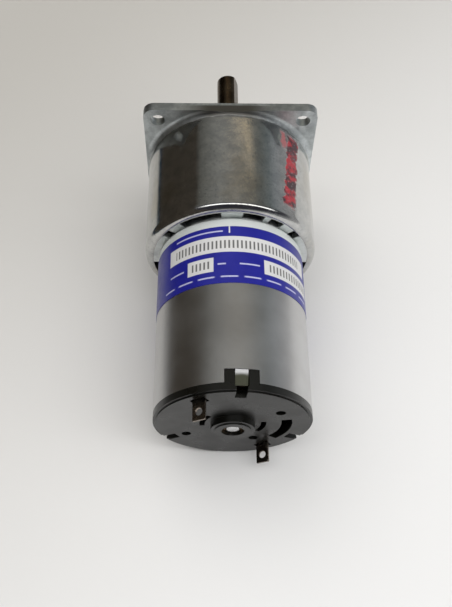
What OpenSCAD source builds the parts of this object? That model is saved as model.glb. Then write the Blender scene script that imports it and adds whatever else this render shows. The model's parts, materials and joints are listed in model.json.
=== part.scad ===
// Geared DC motor: a brushed can motor on a round two-stage planetary gearbox with a square flange.
// Origin: centre of the flange's front face. +Y runs out along the output shaft, +Z is up.
// Angles around the shaft are counted from +Z towards +X.

/* [Flange] */
// Side of the square flange
flange_w = 43.7; // [43:0.1:46]
// Thickness of the flange and the gearbox's front wall
flange_t = 2.4; // [2:0.1:3]
// Distance between two flange holes along one side
hole_pitch = 36.5; // [36:0.1:37]
// Diameter of a flange hole
hole_d = 3.6; // [3.2:0.1:4]

/* [Gearbox] */
// Outer diameter of the gearbox
gearbox_d = 42.7; // [42.5:0.1:43.4]
// Length of the gearbox behind the flange's front face
gearbox_l = 32; // [32:0.5:36]
// Wall thickness of the gearbox
gearbox_wall = 2.05; // [1.8:0.05:2.1]
// Gear module
gear_m = 0.7; // [0.66:0.02:0.7]

/* [Output shaft] */
// Diameter of the output shaft
shaft_d = 6; // [5:0.5:6]
// Reach of the output shaft in front of the flange
shaft_reach = 30; // [24:0.5:34]
// Height across the shaft at its flat
flat_across = 5.5; // [4.8:0.1:5.5]
// Length of the flat
flat_l = 12.5; // [10:0.5:16]
// Angle of the flat around the shaft
flat_angle = 70; // [0:5:355]

/* [Motor] */
// Diameter of the motor can
can_d = 35.8; // [35:0.1:36]
// Length of the motor can
can_l = 42.4; // [42:0.1:44]
// Diameter of the motor shaft
rotor_d = 3; // [2.6:0.1:3.2]
// Reach of the solder terminals behind the end cap
terminal_reach = 4.4; // [3:0.1:6]

/* [Hidden] */

$fn = 64;
gap = 0.05;            // radial clearance of a running fit
eps = 0.5;             // how far a cut runs past a face

housing_r = gearbox_d / 2;
inner_r = housing_r - gearbox_wall;
rear_y = -gearbox_l;
can_r = can_d / 2;
can_wall = 1.2;
can_y0 = rear_y - 0.05;
can_y1 = can_y0 - can_l;
shaft_r = shaft_d / 2;
rotor_r = rotor_d / 2;

// planetary stages: the sun drives three planets inside one fixed ring
sun_z = 12;
planet_z = 18;
ring_z = sun_z + 2 * planet_z;
orbit_r = (sun_z + planet_z) * gear_m / 2;
pressure = 20;
addendum = 0.8 * gear_m;
dedendum = 1.15 * gear_m;
thin = 0.05;           // how much each flank is thinned for backlash
planet_angles = [0, 120, 240];
pin_r = 1.5;
carrier_r = 15.2;
carrier_y = [-6.5, -3.05];
planet_y = [-14, -7.2];
sun_y = [-15.5, -7.4];
first_carrier_y = [-17.8, -15.5];
first_planet_y = [-25, -18.4];
pinion_y = [-26.5, -18.6];
ring_y = [-26.6, -4];

// end cap
cap_y = can_y1 - 1.95;
cap_step = 0.3;
boss_r = 5;
boss_y = cap_y - 1.75;
boss_hole_r = 2.55;
boss_hole_depth = 1.1;
rotor_end_y = boss_y + 0.5;
crimp_angles = [5, 118, 242];
terminal_angles = [-30, 150];
terminal_orbit = 14.7;
terminal_w = 3.1;
terminal_t = 0.5;

// ---- shared shapes ----

// turns a shape drawn along +Z so that it runs along +Y
module along_y() rotate([-90, 0, 0]) children();

// a cylinder on the shaft axis from y0 to y1, or off the axis by r at an angle
module rod(r, y0, y1, orbit = 0, angle = 0)
    rotate([0, angle, 0]) translate([0, y0, orbit]) along_y() cylinder(r = r, h = y1 - y0);

// a ring on the shaft axis
module ring(r0, r1, y0, y1)
    along_y() rotate_extrude() translate([r0, y0]) square([r1 - r0, y1 - y0]);

// a piece of a ring between two angles
module arc(r0, r1, y0, y1, a0, a1)
    along_y() rotate([0, 0, a0 - 90]) rotate_extrude(angle = a1 - a0)
        translate([r0, y0]) square([r1 - r0, y1 - y0]);

// a block whose width lies across the radius, at an angle around the shaft
module block(w, y0, y1, r0, r1, angle)
    rotate([0, angle, 0]) translate([-w / 2, y0, r0]) cube([w, y1 - y0, r1 - r0]);

function involute(a) = tan(a) * 180 / PI - a;

// half the angle that a tooth of z teeth takes at radius r
function half_tooth(r, z, slack) =
    let (pitch_r = z * gear_m / 2, base_r = pitch_r * cos(pressure))
    90 / z - slack / pitch_r * 180 / PI + involute(pressure)
    - involute(acos(min(1, base_r / max(r, base_r))));

// outline of a spur gear with a tooth centred on `turn`
function gear_outline(z, root_r, tip_r, slack, turn) =
    let (base_r = z * gear_m / 2 * cos(pressure), low = max(root_r, base_r),
         rise = [for (k = [0:3]) low + (tip_r - low) * k / 3],
         radii = root_r < base_r ? concat([root_r], rise) : rise, n = len(radii))
    [for (i = [0:z - 1], side = [-1, 1], k = [0:n - 1])
        let (r = side < 0 ? radii[k] : radii[n - 1 - k],
             a = turn + i * 360 / z + side * half_tooth(r, z, slack))
        [r * cos(a), r * sin(a)]];

// an external gear along Y, with a bore
module gear(z, y0, y1, bore_r, turn)
    translate([0, y0, 0]) along_y() linear_extrude(y1 - y0) difference() {
        polygon(gear_outline(z, z * gear_m / 2 - dedendum, z * gear_m / 2 + addendum, thin, turn));
        circle(r = bore_r);
    }

// one planet, carried round the axis to its place with its phase
module planet(index, y_range)
    rotate([0, -planet_angles[index], 0]) translate([orbit_r, 0, 0])
        gear(planet_z, y_range[0], y_range[1], pin_r + gap, 0);

// three planet pins from the carrier to the planets' far side
module pins(y0, y1)
    for (a = planet_angles) rotate([0, -a, 0]) translate([orbit_r, 0, 0]) rod(pin_r, y0, y1);

// a carrier disc with bores for its pins and its hub
module carrier(y_range, hub_r)
    difference() {
        ring(hub_r, carrier_r, y_range[0], y_range[1]);
        for (a = planet_angles)
            rotate([0, -a, 0]) translate([orbit_r, 0, 0]) rod(pin_r, y_range[0] - eps, y_range[1] + eps);
    }

// ---- gearbox ----

// half section of the drawn cup: front wall, straight side, blend to the flange, rounded rear edge
module cup_section() {
    fillet = 1.8;
    rear_round = 2;
    difference() {
        union() {
            translate([boss_r, -flange_t]) square([housing_r - boss_r, flange_t]);
            translate([inner_r, rear_y + rear_round]) square([gearbox_wall, gearbox_l - rear_round]);
            translate([inner_r, rear_y]) square([gearbox_wall - rear_round, rear_round + 0.1]);
            translate([housing_r - rear_round, rear_y + rear_round]) circle(r = rear_round);
            translate([housing_r - 0.1, -flange_t - fillet]) square([fillet + 0.1, fillet + 0.1]);
        }
        translate([housing_r + fillet, -flange_t - fillet]) circle(r = fillet);
        translate([inner_r - 2 * rear_round, rear_y]) square([2 * rear_round, gearbox_l - flange_t]);
    }
}

// outline of the flange with round corners
module flange_outline() {
    corner = 2.8;
    side = flange_w - 2 * corner;
    square([flange_w, side], center = true);
    square([side, flange_w], center = true);
    for (x = [-1, 1], z = [-1, 1]) translate([x * side / 2, z * side / 2]) circle(r = corner);
}

module gear_housing() color("#8d9091") difference() {
    union() {
        intersection() {
            along_y() rotate_extrude() cup_section();
            translate([0, rear_y - eps, 0]) along_y() linear_extrude(gearbox_l + eps) flange_outline();
        }
        translate([0, -flange_t, 0]) along_y() linear_extrude(flange_t) difference() {
            flange_outline();
            circle(r = housing_r - 1);
        }
    }
    for (x = [-1, 1], z = [-1, 1]) translate([x * hole_pitch / 2, 0, z * hole_pitch / 2])
        rod(hole_d / 2, -flange_t - 3, eps);
}

module output_bush() color("#9a7a4a") {
    ring(shaft_r + gap, boss_r, -flange_t, 0);
    ring(shaft_r + gap, boss_r - 0.1, 0, 2.8);
}

module output_shaft() color("#4a4540") {
    groove_y = 3.2;
    groove_w = 0.8;
    chamfer = 0.5;
    difference() {
        union() {
            rod(shaft_r, carrier_y[0], shaft_reach - chamfer);
            along_y() translate([0, 0, shaft_reach - chamfer])
                cylinder(r1 = shaft_r, r2 = shaft_r - chamfer, h = chamfer);
        }
        ring(shaft_r - 0.5, shaft_r + eps, groove_y, groove_y + groove_w);
        block(2 * shaft_d, shaft_reach - flat_l, shaft_reach + eps, flat_across - shaft_r, shaft_d, flat_angle);
    }
}

module retaining_ring() color("#3b3b3d") arc(shaft_r - 0.45, shaft_r + 1.7, 3.25, 3.95, 30, 330);

module thrust_washer() color("#c9c4b4") ring(shaft_r + 0.2, shaft_r + 4, -2.95, -flange_t);

module output_carrier() color("#85878a") carrier(carrier_y, shaft_r);

module output_pins() color("#b5b7ba") pins(planet_y[0], carrier_y[1]);

module output_planet_1() color("#8f8b80") planet(0, planet_y);
module output_planet_2() color("#8f8b80") planet(1, planet_y);
module output_planet_3() color("#8f8b80") planet(2, planet_y);

module ring_gear() color("#7c7e80") {
    tip_r = ring_z * gear_m / 2 - addendum;
    root_r = ring_z * gear_m / 2 + dedendum;
    translate([0, ring_y[0], 0]) along_y() linear_extrude(ring_y[1] - ring_y[0]) difference() {
        circle(r = inner_r);
        polygon(gear_outline(ring_z, tip_r, root_r, -thin, 0));
    }
}

module first_carrier() color("#85878a") carrier(first_carrier_y, 2.5);

module first_pins() color("#b5b7ba") pins(first_planet_y[0], first_carrier_y[1]);

module first_planet_1() color("#d8d4c6") planet(0, first_planet_y);
module first_planet_2() color("#d8d4c6") planet(1, first_planet_y);
module first_planet_3() color("#d8d4c6") planet(2, first_planet_y);

// sun gear of the output stage, with the hub that its carrier is pressed on
module second_sun() color("#8f8b80") {
    gear(sun_z, sun_y[0], sun_y[1], 1, 180 / sun_z);
    ring(1, 2.5, first_carrier_y[0], sun_y[0]);
}

module motor_pinion() color("#b59a52") gear(sun_z, pinion_y[0], pinion_y[1], rotor_r, 180 / sun_z);

// rear plate of the gearbox: spokes reach the cup's wall, with open windows between them
module motor_plate() color("#b9bec0") {
    plate_t = 1.65;
    hub_r = 17.2;
    bore_r = 4.1;
    windows = [[-40, -8], [8, 24], [29, 40], [51, 59], [-59, -51], [94, 131], [-131, -94], [139, 172], [-172, -139]];
    difference() {
        ring(bore_r, inner_r, rear_y, rear_y + plate_t);
        for (w = windows) arc(hub_r, inner_r + eps, rear_y - eps, rear_y + plate_t + eps, w[0], w[1]);
        for (a = [-90, 90]) rod(1.5, rear_y - eps, rear_y + plate_t + eps, 8.5, a);
    }
}

module motor_screws() color("#a9abad")
    for (a = [-90, 90]) {
        rod(1.5, can_y0 - can_wall, rear_y + 1.65, 8.5, a);
        difference() {
            rod(2.75, rear_y + 1.65, rear_y + 3.2, 8.5, a);
            rotate([0, a, 0]) translate([-3, rear_y + 2.6, 8.1]) cube([6, 1, 0.8]);
        }
    }

// ---- motor ----

// half section of the drawn can: closed front with a small round, open rear
module can_section() {
    front_round = 1.2;
    difference() {
        union() {
            translate([4, can_y0 - can_wall]) square([can_r - front_round - 4, can_wall]);
            translate([can_r - can_wall, can_y1]) square([can_wall, can_l - front_round]);
            translate([can_r - front_round, can_y0 - front_round]) circle(r = front_round);
        }
        translate([0, can_y1 - eps]) square([can_r - can_wall, can_l - can_wall + eps]);
    }
}

notch_half = 12;       // half the angle of a notch in the can's rear edge
notch_depth = 3.1;
tongue_w = 2.8;
tongue_t = 0.7;
tongue_tilt = 17;      // how far a tongue leans in from the can's wall

// a strip of the can's wall that leans inwards through the notch, down to the cap
module tongue(angle)
    rotate([0, angle, 0]) translate([0, can_y1 + notch_depth + 0.5, can_r - 0.15]) rotate([tongue_tilt, 0, 0])
        translate([-tongue_w / 2, -4, -tongue_t]) cube([tongue_w, 4, tongue_t]);

module motor_can() color("#a5a8aa") {
    difference() {
        along_y() rotate_extrude() can_section();
        for (a = crimp_angles)
            arc(can_r - can_wall - eps, can_r + eps, can_y1 - eps, can_y1 + notch_depth,
                a - notch_half, a + notch_half);
        for (a = [-90, 90]) rod(1.5, can_y0 - can_wall - eps, can_y0 + eps, 8.5, a);
    }
    for (a = crimp_angles) tongue(a);
}

module front_bush() color("#9a7a4a") ring(rotor_r + gap, 4, can_y0 - 4.2, rear_y + 1.65);

magnet_y = [-66, -38];
module magnets() color("#3c3a3d")
    for (a = [0, 180]) arc(13.3, can_r - can_wall, magnet_y[0], magnet_y[1], a - 62, a + 62);

module magnet_clips() color("#7b7d80")
    for (a = [90, 270]) arc(can_r - can_wall - 0.9, can_r - can_wall, magnet_y[0], magnet_y[1], a - 28, a + 28);

module rotor_shaft() color("#b9bbbd") rod(rotor_r, rotor_end_y, -18.9);

core_y = [-63.5, -40.5];
pole_count = 5;
pole_step = 360 / pole_count;
pole_half = 10;        // half the angle of a pole's neck

// five poles on one ring, each with a wide shoe
module armature_core() color("#77797c") difference() {
    ring(rotor_r, 12.9, core_y[0], core_y[1]);
    for (i = [0:pole_count - 1]) {
        arc(4, 10.6, core_y[0] - eps, core_y[1] + eps,
            i * pole_step + pole_half, (i + 1) * pole_step - pole_half);
        block(2.4, core_y[0] - eps, core_y[1] + eps, 10.2, 14, (i + 0.5) * pole_step);
    }
}

// enamelled copper: a bundle in every slot, joined by the end turns in front and behind
module windings() color("#a8642c") difference() {
    overhang = 3.4;
    ring(4.1, 10.5, core_y[0] - overhang, core_y[1] + overhang);
    for (i = [0:pole_count - 1])
        arc(3.9, 10.7, core_y[0] - gap, core_y[1] + gap,
            i * pole_step - pole_half - 0.6, i * pole_step + pole_half + 0.6);
}

bars_y = [-72.2, -68];
bars_r = 4.4;
base_r = 3.4;

module commutator_base() color("#5a3a22") ring(rotor_r, base_r, bars_y[0], core_y[0]);

module commutator_bars() color("#b8743a")
    for (i = [0:pole_count - 1]) arc(base_r, bars_r, bars_y[0] + 0.4, bars_y[1], i * pole_step + 2, (i + 1) * pole_step - 2);

module rotor_washers() color("#d8d4c6") {
    ring(rotor_r, 2.9, bars_y[0] - 0.4, bars_y[0]);
    ring(rotor_r, 2.9, can_y0 - 4.8, can_y0 - 4.4);
}

module brushes() color("#2d2b2b")
    for (a = [90, 270]) block(2.6, bars_y[0] + 0.9, bars_y[1] - 0.5, bars_r + 0.1, bars_r + 4, a);

module brush_springs() color("#b08a45")
    for (a = [90, 270]) {
        block(9, bars_y[0] + 1.2, bars_y[1] - 0.8, bars_r + 4, bars_r + 4.3, a);
        rotate([0, a, 0]) translate([3.6, cap_y + 2, bars_r + 4]) cube([0.9, bars_y[1] - 0.8 - cap_y - 2, 0.3]);
    }

module rear_bush() color("#9a7a4a") ring(rotor_r + gap, 3.6, boss_y + boss_hole_depth, bars_y[0] - 0.7);

// half section of the moulded end cap: rim, raised face, boss with a blind recess, spigot inside the can
module cap_section() {
    spigot_wall = 1.4;
    plateau_r = can_r - 0.7;
    step_r = boss_r - 0.9;
    difference() {
        union() {
            translate([boss_hole_r, cap_y + cap_step]) square([can_r - boss_hole_r, can_y1 - cap_y - cap_step]);
            translate([boss_hole_r, cap_y]) square([plateau_r - boss_hole_r, cap_step + 0.1]);
            translate([boss_hole_r, boss_y + 0.25]) square([boss_r - boss_hole_r, cap_y - boss_y]);
            translate([boss_hole_r, boss_y]) square([step_r - boss_hole_r, 0.4]);
            translate([can_r - can_wall - spigot_wall, can_y1 - 0.1]) square([spigot_wall, 2.3]);
            translate([boss_hole_r, cap_y + 0.5]) square([boss_r - boss_hole_r, 3.4]);
        }
        translate([0, boss_y + boss_hole_depth]) square([3.6, 8]);
    }
}

module end_cap() color("#2f2f2e") difference() {
    cut = cap_y + 2.6;
    shoulder = 5;      // half the angle left open for a tongue
    union() {
        along_y() rotate_extrude() cap_section();
        for (a = crimp_angles, s = [-1, 1])
            arc(can_r - can_wall - 1.5, can_r - 0.05, can_y1 - 0.1, can_y1 + notch_depth - 0.1,
                s < 0 ? a - notch_half + 0.4 : a + shoulder, s < 0 ? a - shoulder : a + notch_half - 0.4);
    }
    for (a = crimp_angles) {
        block(3, can_y1 - 0.9, can_y1 + notch_depth + 1, can_r - 4, can_r + eps, a);
        block(2.4, cap_y - eps, can_y1 - 0.8, can_r - 3.6, can_r + eps, a);
    }
    // round holes, two facing each other and one beside the right terminal
    for (h = [[11.9, 242], [12, 59.4], [9.6, 149]]) rod(1.1, cap_y - eps, cap_y + 1.2, h[0], h[1]);
    // short curved slots beside the boss, and one long vent
    arc(6.3, 7.5, cap_y - eps, cut, 264, 311);
    arc(6.3, 7.5, cap_y - eps, cut, 80, 126);
    arc(10.9, 13.3, cap_y - eps, cut, 79, 130);
    for (a = terminal_angles) {
        block(terminal_w + 0.5, cap_y - eps, cap_y + 0.8, terminal_orbit - 1.1, terminal_orbit + 1.1, a);
        block(terminal_w, cap_y, cut, terminal_orbit - terminal_t / 2, terminal_orbit + terminal_t / 2, a);
    }
}

// flat tab with a round end hole; it runs through the cap and folds inwards behind it
module terminal(angle) {
    hole_y = cap_y - terminal_reach + 1.9;
    difference() {
        union() {
            block(terminal_w, cap_y - terminal_reach, can_y1 + 0.6,
                  terminal_orbit - terminal_t / 2, terminal_orbit + terminal_t / 2, angle);
            block(terminal_w, can_y1 + 0.1, can_y1 + 0.6, bars_r + 5.5, terminal_orbit, angle);
        }
        rotate([0, angle, 0]) translate([0, hole_y, terminal_orbit - 1]) cylinder(r = 0.85, h = 2);
    }
}

module terminal_left() color("#b9b4a8") terminal(terminal_angles[0]);
module terminal_right() color("#b9b4a8") terminal(terminal_angles[1]);

module label() color("#1a1a8c") arc(can_r, can_r + 0.08, -50.3, -34.9, -150, 150);

gear_housing();
output_bush();
output_shaft();
retaining_ring();
thrust_washer();
output_carrier();
output_pins();
output_planet_1();
output_planet_2();
output_planet_3();
ring_gear();
first_carrier();
first_pins();
first_planet_1();
first_planet_2();
first_planet_3();
second_sun();
motor_pinion();
motor_plate();
motor_screws();
motor_can();
front_bush();
magnets();
magnet_clips();
rotor_shaft();
armature_core();
windings();
commutator_base();
commutator_bars();
rotor_washers();
brushes();
brush_springs();
end_cap();
rear_bush();
terminal_left();
terminal_right();
label();
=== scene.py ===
"""Looks of a geared DC motor: materials, rounded edges, floor, light and camera."""

import json
import math

import bpy
from mathutils import Matrix, Vector


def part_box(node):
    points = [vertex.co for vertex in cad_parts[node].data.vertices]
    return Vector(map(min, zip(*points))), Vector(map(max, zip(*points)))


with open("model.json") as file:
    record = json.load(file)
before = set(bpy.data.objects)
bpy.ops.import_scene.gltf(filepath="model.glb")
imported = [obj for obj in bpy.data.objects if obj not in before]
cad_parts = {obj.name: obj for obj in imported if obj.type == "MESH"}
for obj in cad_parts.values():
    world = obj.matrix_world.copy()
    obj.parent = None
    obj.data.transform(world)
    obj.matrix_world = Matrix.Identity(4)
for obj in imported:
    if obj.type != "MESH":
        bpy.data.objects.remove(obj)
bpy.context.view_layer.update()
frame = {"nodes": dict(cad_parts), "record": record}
MM = 0.001
housing_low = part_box("gear_housing")[0]
can_low, can_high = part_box("motor_can")

# ---------------------------------------------------------------- node helpers


class Graph:
    """Short calls for building one shader node tree."""

    def __init__(self, tree):
        self.tree = tree
        tree.nodes.clear()

    def node(self, kind, inputs=None, **settings):
        made = self.tree.nodes.new("ShaderNode" + kind)
        for name, value in settings.items():
            setattr(made, name, value)
        for key, value in (inputs or {}).items():
            if isinstance(value, bpy.types.NodeSocket):
                self.tree.links.new(value, made.inputs[key])
            else:
                made.inputs[key].default_value = value
        return made

    def math(self, operation, *values):
        return self.node("Math", dict(enumerate(values)), operation=operation).outputs[0]

    def smooth(self, value, low, high, to_low=0.0, to_high=1.0):
        """value from low to high, eased to the range to_low..to_high."""
        inputs = {0: value, 1: low, 2: high, 3: to_low, 4: to_high}
        return self.node("MapRange", inputs, interpolation_type="SMOOTHSTEP").outputs[0]

    def inside(self, value, low, high, soft):
        """1 where value lies between low and high, with edges `soft` wide."""
        rise = self.smooth(value, low - soft, low + soft)
        fall = self.smooth(value, high - soft, high + soft, 1.0, 0.0)
        return self.math("MULTIPLY", rise, fall)

    def mix(self, factor, a, b, blend="MIX"):
        made = self.node("Mix", data_type="RGBA", blend_type=blend)
        for socket, value in ((made.inputs[0], factor), (made.inputs[6], a), (made.inputs[7], b)):
            if isinstance(value, bpy.types.NodeSocket):
                self.tree.links.new(value, socket)
            else:
                socket.default_value = value
        return made.outputs[2]

    def ramp(self, factor, stops):
        made = self.node("ValToRGB", {0: factor})
        ramp = made.color_ramp
        while len(ramp.elements) < len(stops):
            ramp.elements.new(1.0)
        for element, (place, colour) in zip(ramp.elements, stops):
            element.position = place
            element.color = colour
        return made.outputs[0]

    def noise(self, vector, scale, detail=4.0, roughness=0.55):
        inputs = {"Vector": vector, "Scale": scale, "Detail": detail, "Roughness": roughness}
        return self.node("TexNoise", inputs).outputs[0]

    def stretched(self, vector, scale):
        return self.node("Mapping", {"Vector": vector, "Scale": scale}).outputs[0]

    def bump(self, height, distance, strength=1.0):
        inputs = {"Height": height, "Distance": distance, "Strength": strength}
        return self.node("Bump", inputs).outputs[0]

    def place(self):
        """Position, angle from +Z towards +X in degrees, y in mm, distance from the shaft axis in mm."""
        position = self.node("TexCoord").outputs["Object"]
        xyz = self.node("SeparateXYZ", {0: position}).outputs
        angle = self.math("MULTIPLY", self.math("ARCTAN2", xyz[0], xyz[2]), 180 / math.pi)
        y = self.math("MULTIPLY", xyz[1], 1 / MM)
        squares = [self.math("MULTIPLY", xyz[axis], xyz[axis]) for axis in (0, 2)]
        radius = self.math("SQRT", self.math("ADD", *squares))
        return position, angle, y, self.math("MULTIPLY", radius, 1 / MM)

    def surface(self, **inputs):
        shader = self.node("BsdfPrincipled", {k.replace("_", " "): v for k, v in inputs.items()})
        output = self.node("OutputMaterial")
        self.tree.links.new(shader.outputs[0], output.inputs[0])


def grey(value):
    return (value, value, value, 1.0)


def rgb(red, green, blue):
    return (red, green, blue, 1.0)


def new_material(name):
    made = bpy.data.materials.new(name)
    made.use_nodes = True
    return made, Graph(made.node_tree)


# ---------------------------------------------------------------- materials


def worked_metal(name, light, dark, roughness):
    """Machined or drawn metal: mottled tone, fine grain along the shaft, roughness that varies."""
    material, g = new_material(name)
    position = g.place()[0]
    cloud = g.noise(position, 260.0, 5.0)
    fine = g.noise(g.stretched(position, (900, 120, 900)), 6.0, 3.0)
    tone = g.mix(g.smooth(cloud, 0.35, 0.65), dark, light)
    tone = g.mix(g.smooth(fine, 0.3, 0.8, 0.0, 0.35), tone, dark)
    g.surface(
        Base_Color=tone,
        Metallic=1.0,
        Roughness=g.smooth(cloud, 0.25, 0.75, roughness - 0.06, roughness + 0.1),
        Normal=g.bump(fine, 0.012 * MM),
    )
    return material


def moulded_plastic(name, light, dark, roughness):
    """Moulded plastic: fine spark-eroded grain and faint flow marks."""
    material, g = new_material(name)
    position = g.place()[0]
    flow = g.noise(g.stretched(position, (1.0, 0.5, 1.0)), 180.0, 3.0)
    fine = g.noise(position, 2600.0, 2.0)
    g.surface(
        Base_Color=g.mix(g.smooth(flow, 0.35, 0.7), dark, light),
        Roughness=g.smooth(flow, 0.3, 0.7, roughness - 0.05, roughness + 0.08),
        Normal=g.bump(fine, 0.02 * MM, 0.6),
    )
    return material


def wound_copper(name):
    """Enamelled wire laid side by side."""
    material, g = new_material(name)
    position = g.place()[0]
    wave = {"Vector": position, "Scale": 900.0, "Distortion": 1.5}
    wire = g.node("TexWave", wave, bands_direction="Y").outputs[1]
    g.surface(
        Base_Color=g.mix(wire, rgb(0.20, 0.07, 0.02), rgb(0.62, 0.27, 0.10)),
        Metallic=0.9,
        Roughness=0.32,
        Normal=g.bump(wire, 0.08 * MM),
    )
    return material


def red_paint(g, position, angle, y, speck):
    """Mask and colour of a ragged smear of inspection paint, with a blot beside its front end."""
    ragged = g.math("MULTIPLY", g.math("SUBTRACT", g.noise(position, 420.0, 6.0, 0.7), 0.5), 12.0)
    edge = g.math("ADD", angle, ragged)
    drift = g.math("MULTIPLY", g.math("ADD", y, 16.0), 0.35)
    along = g.math("SUBTRACT", edge, drift)
    smear = g.math("MULTIPLY", g.inside(along, 38.6, 49.6, 0.7), g.inside(y, -28.0, -4.6, 0.8))
    blot = g.math("MULTIPLY", g.inside(edge, 36.0, 41.0, 0.7), g.inside(y, -10.0, -4.4, 0.8))
    mask = g.math("MULTIPLY", g.math("MAXIMUM", smear, g.math("MULTIPLY", blot, 0.8)), 0.96)
    thick = g.smooth(g.noise(position, 260.0, 5.0, 0.7), 0.44, 0.56)
    red = g.mix(thick, rgb(0.035, 0.008, 0.014), rgb(0.33, 0.008, 0.02))
    return mask, g.mix(g.smooth(speck, 0.58, 0.68, 0.0, 0.7), red, rgb(0.30, 0.30, 0.32))


def zinc_housing(name):
    """Zinc-plated drawn steel: clouds, stains, drawing lines, a worn flange with painted sheen and
    painted shade on its blend, painted shade inside the cup and a smear of red paint.
    """
    material, g = new_material(name)
    position, angle, y, radius = g.place()
    cloud = g.noise(position, 330.0, 6.0, 0.65)
    stain = g.noise(position, 70.0, 4.0)
    speck = g.noise(position, 1500.0, 3.0, 0.7)
    lines = g.noise(g.stretched(position, (700, 60, 700)), 4.0, 3.0)
    tone = g.mix(g.smooth(cloud, 0.35, 0.65), rgb(0.47, 0.475, 0.47), rgb(0.58, 0.58, 0.565))
    tone = g.mix(g.smooth(stain, 0.5, 0.7, 0.0, 0.45), tone, rgb(0.44, 0.395, 0.31))
    tone = g.mix(g.smooth(speck, 0.52, 0.72, 0.0, 0.45), tone, rgb(0.24, 0.25, 0.26))

    # painted shade: the walls inside the cup are painted near-black
    bore, wall = 5.2, 19.7
    cup_inside_shade = g.math("MULTIPLY", g.inside(radius, bore, wall, 0.1), g.inside(y, -31.7, -2.0, 0.2))
    tone = g.mix(g.math("MULTIPLY", cup_inside_shade, 0.93), tone, grey(0.02))

    # the flange and its blend into the cup are worn dull and mottled; the blend's pale blue-grey tone is
    # partly a painted sheen, and along the top of the blend they are painted darkest as painted shade
    side_blend = g.math("MULTIPLY", g.smooth(y, -6.4, -4.6), g.smooth(radius, 21.3, 21.6))
    front = g.smooth(y, -1.0, -0.4)
    flange = g.math("MAXIMUM", side_blend, front)
    worn = g.smooth(g.noise(position, 150.0, 6.0, 0.7), 0.36, 0.66)
    wear_and_sheen_tone = g.mix(worn, rgb(0.38, 0.41, 0.42), rgb(0.68, 0.72, 0.725))
    # painted shade: the middle of the top of the blend is painted dark, standing in for a dark
    # reflection
    blend_top_shade = g.math("MAXIMUM", g.math("SUBTRACT", g.inside(angle, -24.0, 22.0, 12.0), front), 0.0)
    tone = g.mix(flange, tone, g.mix(blend_top_shade, wear_and_sheen_tone, rgb(0.16, 0.155, 0.14)))

    paint, red = red_paint(g, position, angle, y, speck)
    metal_rough = g.math("ADD", g.smooth(cloud, 0.3, 0.7, 0.10, 0.18), g.math("MULTIPLY", flange, 0.3))
    g.surface(
        Base_Color=g.mix(paint, tone, red),
        Metallic=g.math("SUBTRACT", 1.0, paint),
        Roughness=g.math("MAXIMUM", metal_rough, g.math("MULTIPLY", paint, 0.5)),
        Normal=g.bump(g.math("ADD", lines, g.math("MULTIPLY", speck, 0.6)), 0.008 * MM),
    )
    return material


def satin_can(name):
    """Satin-plated can: soft broad sheen, handling marks, a front collar painted paler as a painted
    sheen, crimp tongues painted near-black as painted shade.
    """
    material, g = new_material(name)
    position, _, y, radius = g.place()
    cloud = g.noise(position, 90.0, 4.0)
    marks = g.noise(g.stretched(position, (1.0, 0.25, 1.0)), 700.0, 5.0, 0.65)
    grain = g.noise(position, 5200.0, 2.0)
    tone = g.mix(g.smooth(cloud, 0.3, 0.7), rgb(0.56, 0.555, 0.55), rgb(0.66, 0.66, 0.66))
    tone = g.mix(g.smooth(marks, 0.6, 0.8, 0.0, 0.25), tone, rgb(0.42, 0.41, 0.40))
    # painted sheen: the front collar is painted paler and bluish, and is less metallic
    collar_sheen = g.smooth(y, -35.2, -34.6)
    tone = g.mix(collar_sheen, tone, g.mix(cloud, rgb(0.62, 0.66, 0.65), rgb(0.74, 0.77, 0.76)))
    # the crimp tongues lean inwards from a bend a little in front of the can's rear edge, and are
    # painted near-black there as painted shade
    bend_y, wall = can_low.y / MM + 2.7, can_high.x / MM
    tongue_shade = g.math("MULTIPLY", g.smooth(y, bend_y - 0.4, bend_y + 0.5, 1.0, 0.0),
                    g.smooth(radius, wall - 0.7, wall - 0.4, 1.0, 0.0))
    tone = g.mix(tongue_shade, tone, g.mix(cloud, rgb(0.05, 0.052, 0.036), rgb(0.09, 0.092, 0.066)))
    g.surface(
        Base_Color=tone,
        Metallic=g.smooth(collar_sheen, 0.0, 1.0, 1.0, 0.25),
        Roughness=g.smooth(cloud, 0.3, 0.7, 0.33, 0.42),
        Normal=g.bump(grain, 0.01 * MM),
    )
    return material


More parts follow.
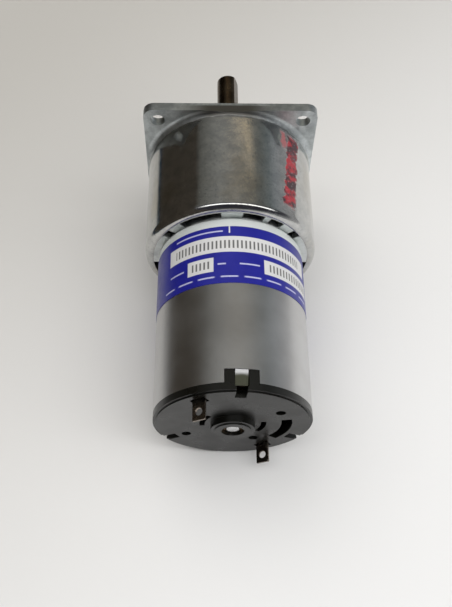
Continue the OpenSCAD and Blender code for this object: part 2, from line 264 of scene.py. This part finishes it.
def printed_label(name):
    """Deep blue film with blank white fields, plain bars and rules: no lettering."""
    material, g = new_material(name)
    position, angle, y, _ = g.place()

    def field(a0, a1, y0, y1):
        return g.math("MULTIPLY", g.inside(angle, a0, a1, 0.25), g.inside(y, y0, y1, 0.06))

    def bars(a0, a1, y0, y1, pitch, share):
        phase = g.math("FRACT", g.math("DIVIDE", g.math("ADD", angle, 180.0), pitch))
        return g.math("MULTIPLY", field(a0, a1, y0, y1), g.inside(phase, 0.08, share, 0.06))

    def total(masks):
        joined = masks[0]
        for mask in masks[1:]:
            joined = g.math("MAXIMUM", joined, mask)
        return joined

    white = total([
        field(-2.6, -1.6, -36.8, -34.8),
        field(-53, 71, -42.0, -37.7),
        field(-34.5, -14, -47.1, -43.3),
        field(23.5, 76, -47.1, -43.3),
    ])
    rules = total([
        field(-46, -7, -36.4, -36.0),
        field(-52, -38, -45.4, -45.0),
        field(-11, -5, -45.4, -45.0),
        field(5, 20, -45.4, -45.0),
        bars(-58, 74, -48.8, -48.4, 17.0, 0.8),
    ])
    ink = total([
        bars(-46, 60, -41.0, -38.8, 3.1, 0.5),
        bars(-31, -17, -46.2, -44.2, 3.1, 0.5),
        bars(28, 74, -46.2, -44.2, 3.1, 0.5),
    ])
    cloud = g.noise(position, 300.0, 4.0)
    blue = g.mix(cloud, rgb(0.008, 0.009, 0.19), rgb(0.014, 0.016, 0.27))
    tone = g.mix(white, blue, g.mix(cloud, grey(0.56), grey(0.66)))
    tone = g.mix(g.math("MULTIPLY", rules, 0.75), tone, rgb(0.55, 0.56, 0.75))
    tone = g.mix(g.math("MULTIPLY", ink, 0.85), tone, grey(0.03))
    g.surface(
        Base_Color=tone,
        Roughness=g.smooth(cloud, 0.3, 0.7, 0.3, 0.4),
        Normal=g.bump(g.noise(position, 500.0, 2.0), 0.01 * MM),
    )
    return material


MATERIALS = {
    "zinc_steel": zinc_housing("zinc_steel"),
    # a paler copy of the zinc for the rear plate, painted lighter as a painted sheen on its spokes
    "plate_zinc_sheen": worked_metal("plate_zinc_sheen", rgb(0.86, 0.88, 0.87), rgb(0.62, 0.65, 0.64), 0.42),
    "can_steel": satin_can("can_steel"),
    "shaft_steel": worked_metal("shaft_steel", rgb(0.11, 0.08, 0.05), rgb(0.06, 0.042, 0.026), 0.2),
    "dark_steel": worked_metal("dark_steel", grey(0.12), grey(0.05), 0.38),
    "gear_steel": worked_metal("gear_steel", grey(0.44), rgb(0.24, 0.23, 0.22), 0.4),
    "bright_steel": worked_metal("bright_steel", grey(0.80), grey(0.55), 0.2),
    "bronze": worked_metal("bronze", rgb(0.62, 0.44, 0.24), rgb(0.38, 0.25, 0.13), 0.4),
    "brass": worked_metal("brass", rgb(0.78, 0.60, 0.27), rgb(0.52, 0.37, 0.14), 0.28),
    "copper": wound_copper("copper"),
    "ferrite": moulded_plastic("ferrite", grey(0.10), grey(0.05), 0.6),
    "carbon": moulded_plastic("carbon", grey(0.05), grey(0.02), 0.5),
    "white_plastic": moulded_plastic(
        "white_plastic", rgb(0.78, 0.76, 0.70), rgb(0.68, 0.66, 0.60), 0.42),
    "brown_plastic": moulded_plastic(
        "brown_plastic", rgb(0.20, 0.11, 0.06), rgb(0.12, 0.06, 0.03), 0.45),
    "cap_plastic": moulded_plastic(
        "cap_plastic", rgb(0.005, 0.005, 0.004), rgb(0.003, 0.003, 0.002), 0.3),
    "tinned_tab": worked_metal("tinned_tab", rgb(0.36, 0.32, 0.27), rgb(0.15, 0.12, 0.10), 0.24),
    "label_film": printed_label("label_film"),
}

# ---------------------------------------------------------------- CAD nodes: finish and rounded edges

# width of each rounded edge
EDGE_MM = {
    "gear_housing": 0.16,
    "motor_plate": 0.12,
    "output_bush": 0.2,
    "output_shaft": 0.1,
    "retaining_ring": 0.1,
    "motor_can": 0.12,
    "end_cap": 0.14,
    "terminal_left": 0.1,
    "terminal_right": 0.1,
    "rotor_shaft": 0.15,
}


def round_edges(piece, width):
    """Joins the facets into whole faces and rounds the sharp edges, as modifiers on the CAD mesh."""
    weld = piece.modifiers.new("weld", "WELD")
    weld.merge_threshold = 0.0005 * MM
    flat = piece.modifiers.new("flat", "DECIMATE")
    flat.decimate_type = "DISSOLVE"
    flat.angle_limit = math.radians(0.3)
    bevel = piece.modifiers.new("edges", "BEVEL")
    bevel.width = width * MM
    bevel.segments = 3
    bevel.limit_method = "ANGLE"
    bevel.angle_limit = math.radians(35)
    bevel.harden_normals = True


for entry in frame["record"]["subparts"]:
    node = entry["node"]
    piece = frame["nodes"][node]
    mesh = piece.data
    mesh.materials.clear()
    # the rear plate takes the paler zinc copy, painted lighter as a painted sheen
    mesh.materials.append(MATERIALS["plate_zinc_sheen" if node == "motor_plate" else entry["material_slot"]])
    if node in EDGE_MM:
        if "custom_normal" in mesh.attributes:
            mesh.attributes.remove(mesh.attributes["custom_normal"])
        for face in mesh.polygons:
            face.use_smooth = True
        round_edges(piece, EDGE_MM[node])

# ---------------------------------------------------------------- floor

REAR_ROUND = 2 * MM           # of the gearbox's rear edge
GEARBOX_RADIUS = 21.35 * MM


def resting_floor():
    """The plane that the gearbox's rear rim and the can's rear edge both rest on."""
    front = Vector((0, housing_low.y + REAR_ROUND, -GEARBOX_RADIUS))
    rear = Vector((0, can_low.y, can_low.z))
    bpy.ops.mesh.primitive_plane_add(size=6.0)
    floor = bpy.context.object
    floor.name = "floor"
    slope = math.atan2(rear.z - front.z, front.y - rear.y)
    floor.matrix_world = Matrix.Translation(front) @ Matrix.Rotation(-slope, 4, "X")
    material, g = new_material("floor_paper")
    position = g.node("TexCoord").outputs["Object"]
    cloud = g.noise(position, 3.0, 3.0)
    fibre = g.noise(position, 900.0, 2.0)
    xyz = g.node("SeparateXYZ", {0: position}).outputs
    # painted light fall-off: paler towards the right and the rear, darker towards the left and the front
    across = g.math("SUBTRACT", xyz[1], xyz[0])
    share = g.smooth(g.math("ADD", across, g.math("MULTIPLY", cloud, 0.03)), -0.13, 0.22)
    g.surface(
        Base_Color=g.mix(share, rgb(0.80, 0.80, 0.80), rgb(0.48, 0.465, 0.435)),
        Roughness=0.7,
        Normal=g.bump(fibre, 0.02 * MM),
    )
    floor.data.materials.append(material)


resting_floor()

# ---------------------------------------------------------------- light


MIDDLE = Vector((0, -30, 0)) * MM


def soft_box(name, place, size, power, colour):
    """A round lamp aimed at the object's middle, which the metal doesn't mirror."""
    data = bpy.data.lights.new(name, "AREA")
    data.shape = "DISK"
    data.size = size
    data.energy = power
    data.color = colour
    lamp = bpy.data.objects.new(name, data)
    lamp.location = place
    lamp.rotation_euler = (MIDDLE - Vector(place)).to_track_quat("-Z", "Y").to_euler()
    lamp.visible_glossy = False
    bpy.context.scene.collection.objects.link(lamp)


def room():
    """What the metal mirrors: dark walls, a grey ceiling, a lamp behind and a slanted warm strip."""
    world = bpy.data.worlds.new("room")
    bpy.context.scene.world = world
    world.use_nodes = True
    g = Graph(world.node_tree)
    xyz = g.node("SeparateXYZ", {0: g.node("TexCoord").outputs["Generated"]}).outputs
    turn = g.math("MULTIPLY", g.math("ARCTAN2", xyz[0], xyz[2]), 180 / math.pi)
    share = g.math("ADD", g.math("DIVIDE", turn, 360.0), 0.5)
    # tone of the room at each turn from straight up (0) towards the right
    tones = [
        (-180, grey(0.45)), (-122, rgb(0.30, 0.31, 0.31)), (-112, rgb(0.008, 0.03, 0.05)),
        (-96, rgb(0.03, 0.035, 0.05)), (-88, rgb(0.05, 0.042, 0.034)), (-62, rgb(0.06, 0.05, 0.04)),
        (-52, rgb(0.045, 0.043, 0.037)), (-32, rgb(0.19, 0.19, 0.175)), (-14, rgb(0.28, 0.28, 0.265)),
        (6, rgb(0.30, 0.29, 0.265)), (40, rgb(0.16, 0.165, 0.155)), (54, rgb(0.17, 0.195, 0.20)),
        (62, rgb(0.30, 0.32, 0.335)), (84, rgb(0.38, 0.38, 0.385)), (180, grey(0.40)),
    ]
    colour = g.ramp(share, [((a + 180) / 360, c) for a, c in tones])
    slant = g.math("ADD", turn, g.math("MULTIPLY", g.math("SUBTRACT", xyz[1], 0.655), 380.0))
    strip = g.math("MULTIPLY", g.inside(slant, 10.6, 15.4, 0.9), g.inside(xyz[1], 0.61, 0.74, 0.02))
    colour = g.mix(strip, colour, rgb(1.9, 1.5, 0.95))
    behind = g.math("MULTIPLY", g.smooth(xyz[1], -0.05, 0.25, 1.0, 0.0), g.smooth(xyz[2], 0.1, 0.4))
    colour = g.mix(behind, colour, rgb(0.045, 0.045, 0.055))
    lamp = g.math("MULTIPLY", g.inside(xyz[1], -0.30, -0.10, 0.04), g.inside(turn, -34.0, 52.0, 8.0))
    colour = g.mix(lamp, colour, grey(3.0))
    back = g.node("Background", {"Color": colour, "Strength": 1.0})
    output = g.node("OutputWorld")
    g.tree.links.new(back.outputs[0], output.inputs[0])


def dark_card(name, x):
    """A dark board beside the object that only the mirror of its metal sees."""
    bpy.ops.mesh.primitive_plane_add(size=1.0)
    card = bpy.context.object
    card.name = name
    low = housing_low.z
    height = 0.12
    upright = Matrix.Translation((x, -0.02, low + height / 2)) @ Matrix.Rotation(math.pi / 2, 4, "Y")
    card.matrix_world = upright @ Matrix.Diagonal((height, 0.5, 1, 1))
    material, g = new_material(name)
    place = g.node("TexCoord").outputs["Object"]
    cloth = g.mix(g.noise(place, 8.0), rgb(0.04, 0.032, 0.024), rgb(0.07, 0.058, 0.042))
    foot = g.smooth(g.node("SeparateXYZ", {0: place}).outputs[0], 0.40, 0.44)
    g.surface(Base_Color=g.mix(foot, cloth, rgb(0.006, 0.03, 0.06)), Roughness=0.9)
    card.data.materials.append(material)
    card.visible_camera = card.visible_diffuse = card.visible_shadow = card.visible_transmission = False


room()
dark_card("left_card", -0.085)
soft_box("key", (0.42, -0.30, 0.62), 1.1, 5.1, (1.0, 0.995, 0.985))
soft_box("fill", (-0.35, 0.25, 0.75), 1.1, 4.4, (1.0, 0.98, 0.95))

# ---------------------------------------------------------------- camera

AIM = Vector((-1.2, -45.0, 0)) * MM
DISTANCE = 196.6 * MM
AZIMUTH, ELEVATION, ROLL = math.radians(-2.36), math.radians(59.18), math.radians(2.1)
LENS, SENSOR = 47.86, 36.0


def add_camera():
    data = bpy.data.cameras.new("camera")
    data.lens, data.sensor_width = LENS, SENSOR
    data.clip_start, data.clip_end = 0.01, 20.0
    camera = bpy.data.objects.new("camera", data)
    flat = math.cos(ELEVATION)
    back = Vector((math.sin(AZIMUTH) * flat, -math.cos(AZIMUTH) * flat, math.sin(ELEVATION)))
    turn = (-back).to_track_quat("-Z", "Y").to_matrix().to_4x4()
    place = Matrix.Translation(AIM + back * DISTANCE)
    camera.matrix_world = place @ turn @ Matrix.Rotation(ROLL, 4, "Z")
    bpy.context.scene.collection.objects.link(camera)
    bpy.context.scene.camera = camera


add_camera()
bpy.context.scene.view_settings.view_transform = "Standard"
